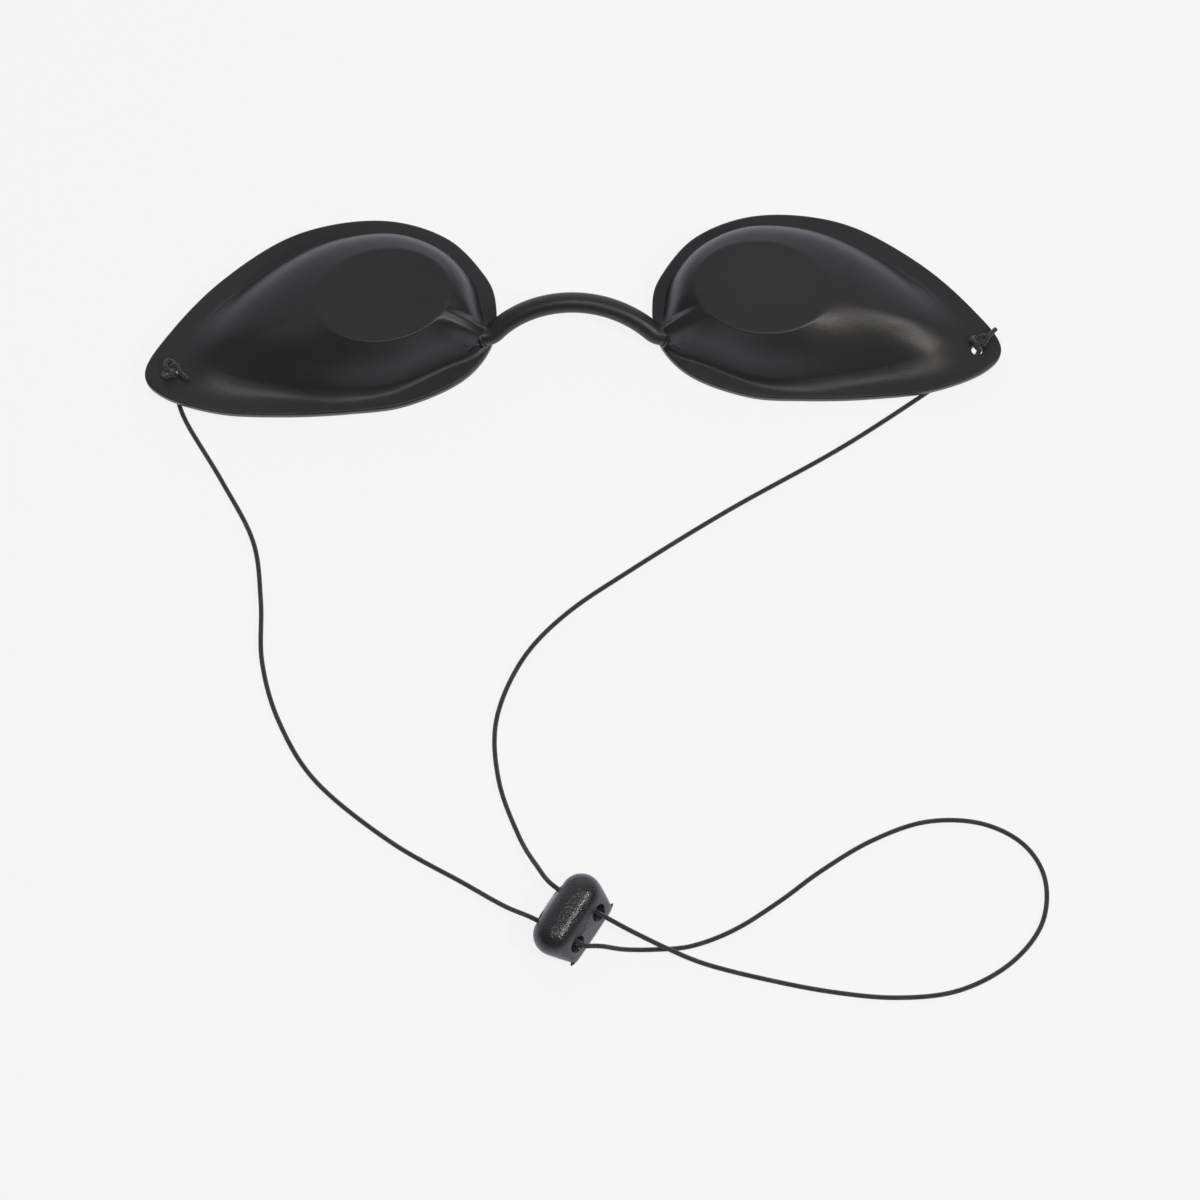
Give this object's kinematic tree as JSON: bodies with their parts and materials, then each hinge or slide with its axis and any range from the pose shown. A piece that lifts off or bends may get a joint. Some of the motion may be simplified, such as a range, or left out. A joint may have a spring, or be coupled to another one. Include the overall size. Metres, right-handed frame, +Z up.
{
  "type": "light therapy goggles",
  "caption": "Opaque domed eye cups joined by a flexible nose bridge rod, worn with a thin elastic head cord that runs through a sliding bead and tightens to fit.",
  "frame": {"origin": "middle of the goggles' box (cups and bridge, without the cord), on the plane that the rims rest on", "axes": "+X from the left cup to the right one, +Y from cheek to brow, +Z up from the rims, away from the face"},
  "size_m": [0.1509, 0.1368, 0.01],
  "materials": {
    "cup_plastic": "moulded soft black plastic with a fine matt grain",
    "bridge_plastic": "smooth flexible black rod with a satin sheen",
    "bead_plastic": "black plastic with a leathery grain",
    "elastic_cord": "fine braided black elastic"
  },
  "bodies": {
    "right_side": {"right_cup": "cup_plastic", "nose_bridge": "bridge_plastic", "cord_right_knot": "elastic_cord", "cord_right_strand": "elastic_cord", "cord_left_strand": "elastic_cord", "cord_loop": "elastic_cord"},
    "left_side": {"left_cup": "cup_plastic", "cord_left_knot": "elastic_cord"},
    "bead": {"bead": "bead_plastic"}
  },
  "joints": [
    {"name": "nose_bridge_flex", "type": "hinge", "parent": "right_side", "child": "left_side", "pos_m": [0.0002, -0.0001, 0.0072], "axis": [0, 1, 0], "range_deg": [-40, 40], "stiffness_Nm_per_rad": 0.0025, "deforming": ["nose_bridge", "cord_left_strand"]},
    {"name": "bead_slide", "type": "slide", "parent": "right_side", "child": "bead", "axis": [0.8339, -0.5519, 0], "range_m": [-0.003, 0.002]}
  ]
}
